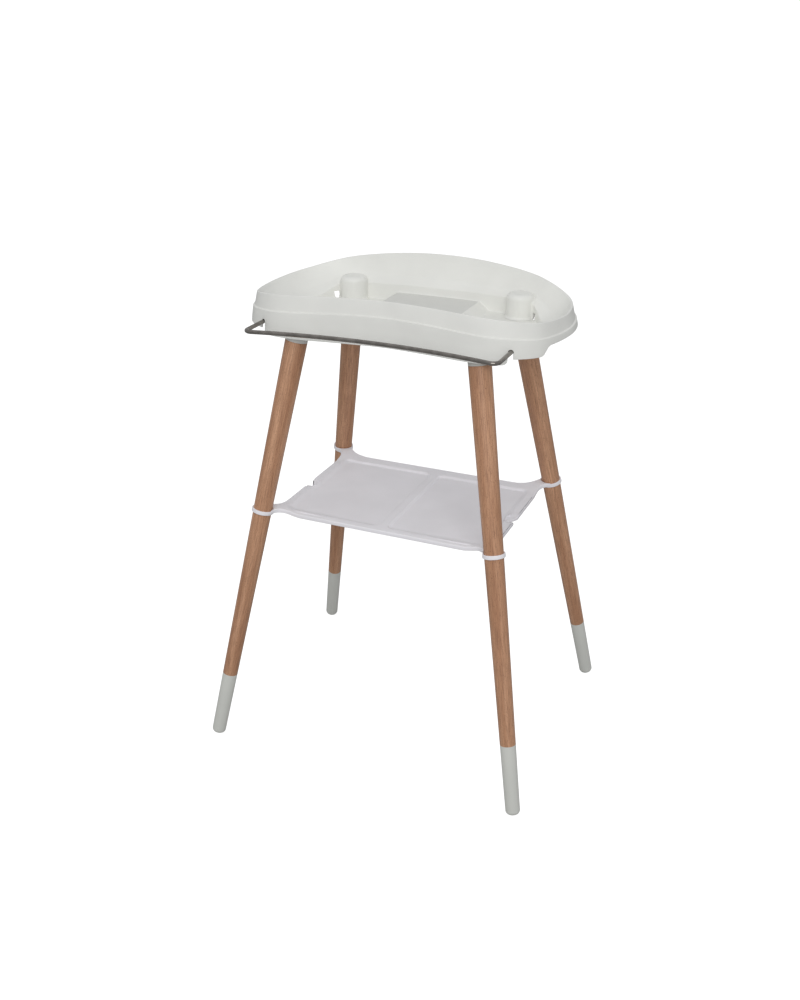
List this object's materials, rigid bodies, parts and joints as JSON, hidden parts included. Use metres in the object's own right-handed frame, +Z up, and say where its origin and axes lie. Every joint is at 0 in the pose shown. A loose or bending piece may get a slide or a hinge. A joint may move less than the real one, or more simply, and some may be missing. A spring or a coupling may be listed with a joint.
{
  "type": "changing table",
  "caption": "Standing changing table: moulded bean-shaped tray on splayed tapered wooden legs, a shelf locked between them and a fold-down towel rail.",
  "frame": {"origin": "on the floor, midway between the four feet", "axes": "+X to the user's right, -Y towards the user, +Z up"},
  "size_m": [0.7014, 0.5774, 0.9831],
  "materials": {
    "tray_plastic": "fine satin moulded",
    "shelf_plastic": "satin moulded",
    "sleeve_plastic": "satin moulded",
    "fitting_plastic": "plain moulded",
    "beech": "clear satin lacquer, grain along the leg",
    "rail_steel": "drawn wire, satin",
    "zinc_steel": "zinc plated",
    "nut_brass": "turned"
  },
  "bodies": {
    "stand": {"tray": "tray_plastic", "leg_front_left": "beech", "leg_front_right": "beech", "leg_rear_left": "beech", "leg_rear_right": "beech", "foot_sleeve_front_left": "sleeve_plastic", "foot_sleeve_front_right": "sleeve_plastic", "foot_sleeve_rear_left": "sleeve_plastic", "foot_sleeve_rear_right": "sleeve_plastic", "leg_plug_front_left": "fitting_plastic", "leg_plug_front_right": "fitting_plastic", "leg_plug_rear_left": "fitting_plastic", "leg_plug_rear_right": "fitting_plastic", "hanger_bolt_front_left": "zinc_steel", "hanger_bolt_front_right": "zinc_steel", "hanger_bolt_rear_left": "zinc_steel", "hanger_bolt_rear_right": "zinc_steel", "captive_nut_front_left": "nut_brass", "captive_nut_front_right": "nut_brass", "captive_nut_rear_left": "nut_brass", "captive_nut_rear_right": "nut_brass", "shelf": "shelf_plastic", "rail_bearing_left": "fitting_plastic", "rail_bearing_right": "fitting_plastic", "bearing_screws": "zinc_steel"},
    "rail": {"towel_rail": "rail_steel"}
  },
  "joints": [
    {"name": "rail_fold", "type": "hinge", "parent": "stand", "child": "rail", "pos_m": [0, -0.127, 0.897], "axis": [1, 0, 0], "range_deg": [0, 58]}
  ]
}
